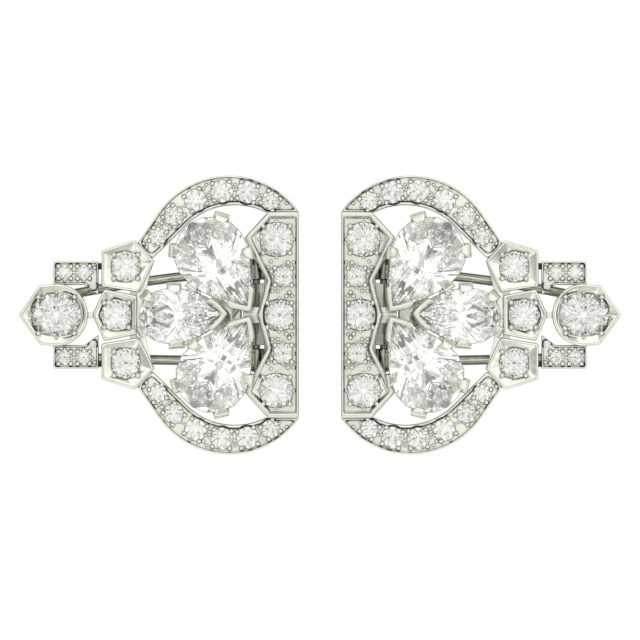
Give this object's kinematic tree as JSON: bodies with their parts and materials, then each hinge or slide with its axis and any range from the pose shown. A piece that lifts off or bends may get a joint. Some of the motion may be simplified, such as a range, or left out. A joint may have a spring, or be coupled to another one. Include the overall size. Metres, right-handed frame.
{
  "type": "double clip brooch",
  "caption": "Double clip brooch: mirrored dress clips with pierced arched frames, raised pear stones, cushion and round stones in flat beds, and a sprung fork hinged behind each.",
  "frame": {"origin": "middle of the pair in plan, on the surface that the hinge barrels and the low points of the forks rest on", "axes": "+X along the pair from the left clip to the right one, +Y across it and up in the front view, +Z out of the stone-set front"},
  "size_m": [0.0604, 0.0278, 0.0082],
  "materials": {
    "platinum": "polished platinum, softly worn, with bright-cut rims",
    "fitting": "plain polished white gold fitting",
    "diamond": "faceted and polished, colourless"
  },
  "bodies": {
    "clips": {"left_frame": "platinum", "left_pear_setting": "platinum", "left_hinge_plate": "fitting", "left_hinge_pin": "fitting", "left_end_stone": "diamond", "left_upper_pear": "diamond", "left_middle_pear": "diamond", "left_lower_pear": "diamond", "left_upper_box_stone": "diamond", "left_middle_box_stone": "diamond", "left_lower_box_stone": "diamond", "left_bar_stone_1": "diamond", "left_bar_stone_2": "diamond", "left_bar_stone_3": "diamond", "left_bar_stone_4": "diamond", "left_bar_stone_5": "diamond", "left_upper_arch_stones": "diamond", "left_lower_arch_stones": "diamond", "left_side_bar_stones": "diamond", "right_frame": "platinum", "right_pear_setting": "platinum", "right_hinge_plate": "fitting", "right_hinge_pin": "fitting", "right_end_stone": "diamond", "right_upper_pear": "diamond", "right_middle_pear": "diamond", "right_lower_pear": "diamond", "right_upper_box_stone": "diamond", "right_middle_box_stone": "diamond", "right_lower_box_stone": "diamond", "right_bar_stone_1": "diamond", "right_bar_stone_2": "diamond", "right_bar_stone_3": "diamond", "right_bar_stone_4": "diamond", "right_bar_stone_5": "diamond", "right_upper_arch_stones": "diamond", "right_lower_arch_stones": "diamond", "right_side_bar_stones": "diamond"},
    "left_prongs": {"left_fork": "fitting"},
    "right_prongs": {"right_fork": "fitting"}
  },
  "joints": [
    {"name": "left_fork_hinge", "type": "hinge", "parent": "clips", "child": "left_prongs", "pos_m": [-0.0064, 0, 0.0012], "axis": [0, -1, 0], "range_deg": [0, 80], "stiffness_Nm_per_rad": 0.008, "springref_deg": -34.38},
    {"name": "right_fork_hinge", "type": "hinge", "parent": "clips", "child": "right_prongs", "pos_m": [0.0064, 0, 0.0012], "axis": [0, 1, 0], "range_deg": [0, 80], "stiffness_Nm_per_rad": 0.008, "springref_deg": -34.38}
  ]
}
